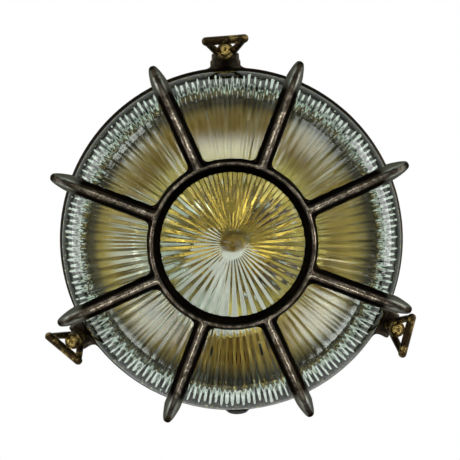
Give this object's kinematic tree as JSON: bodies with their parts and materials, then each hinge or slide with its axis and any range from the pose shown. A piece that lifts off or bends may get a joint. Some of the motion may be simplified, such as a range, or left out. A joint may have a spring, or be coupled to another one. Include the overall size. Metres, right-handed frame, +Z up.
{
  "type": "bulkhead light",
  "caption": "Round cast bulkhead light: prismatic glass under an armed guard, clamped to a wall body by swing bolts with loop nuts, with a lampholder inside and a cable gland below.",
  "frame": {"origin": "centre of the flat back that lies on the wall", "axes": "+Z up the wall with the cable gland below, -Y out of the wall towards the viewer, +X to the viewer's right"},
  "size_m": [0.2737, 0.137, 0.3011],
  "materials": {
    "cast_bronze": "dark brown patina on a cast copper alloy, rubbed bright on the ridges",
    "worn_bronze": "brown patina rubbed back to metal by hands",
    "bolt_brass": "turned brass, lightly tarnished",
    "bare_brass": "clean brass",
    "clear_glass": "clear pressed glass, faintly green, with prisms inside",
    "black_rubber": "matt black rubber",
    "white_porcelain": "white glazed porcelain",
    "dark_phenolic": "dark brown moulded phenolic",
    "plated_steel": "plated steel"
  },
  "bodies": {
    "housing": {"wall_body": "cast_bronze", "guard": "cast_bronze", "body_gasket": "black_rubber", "guard_gasket": "black_rubber", "prismatic_glass": "clear_glass", "gland_seal": "black_rubber", "gland_washer": "bare_brass", "gland_nut": "worn_bronze", "lampholder_bracket": "bare_brass", "lampholder_body": "white_porcelain", "lampholder_shell": "bare_brass", "centre_contact": "bare_brass", "lampholder_screws": "plated_steel", "bracket_screws": "plated_steel", "terminal_block": "dark_phenolic", "terminal_screws": "bare_brass", "block_screws": "plated_steel", "earth_screw": "bare_brass", "earth_washer": "bare_brass", "pivot_pin_top": "worn_bronze", "pivot_pin_left": "worn_bronze", "pivot_pin_right": "worn_bronze"},
    "swing_bolt_top": {"swing_bolt_top": "bolt_brass"},
    "loop_nut_top": {"loop_nut_top": "worn_bronze"},
    "swing_bolt_left": {"swing_bolt_left": "bolt_brass"},
    "loop_nut_left": {"loop_nut_left": "worn_bronze"},
    "swing_bolt_right": {"swing_bolt_right": "bolt_brass"},
    "loop_nut_right": {"loop_nut_right": "worn_bronze"}
  },
  "joints": [
    {"name": "bolt_top_swing", "type": "hinge", "parent": "housing", "child": "swing_bolt_top", "pos_m": [0, -0.04, 0.1435], "axis": [-1, 0, 0], "range_deg": [0, 95]},
    {"name": "nut_top_turn", "type": "hinge", "parent": "swing_bolt_top", "child": "loop_nut_top", "pos_m": [0, -0.067, 0.1435], "axis": [0, -1, 0], "continuous": true},
    {"name": "bolt_left_swing", "type": "hinge", "parent": "housing", "child": "swing_bolt_left", "pos_m": [-0.12427, -0.04, -0.07175], "axis": [0.5, 0, -0.866], "range_deg": [0, 95]},
    {"name": "nut_left_turn", "type": "hinge", "parent": "swing_bolt_left", "child": "loop_nut_left", "pos_m": [-0.12427, -0.067, -0.07175], "axis": [0, -1, 0], "continuous": true},
    {"name": "bolt_right_swing", "type": "hinge", "parent": "housing", "child": "swing_bolt_right", "pos_m": [0.12427, -0.04, -0.07175], "axis": [0.5, 0, 0.866], "range_deg": [0, 95]},
    {"name": "nut_right_turn", "type": "hinge", "parent": "swing_bolt_right", "child": "loop_nut_right", "pos_m": [0.12427, -0.067, -0.07175], "axis": [0, -1, 0], "continuous": true}
  ]
}
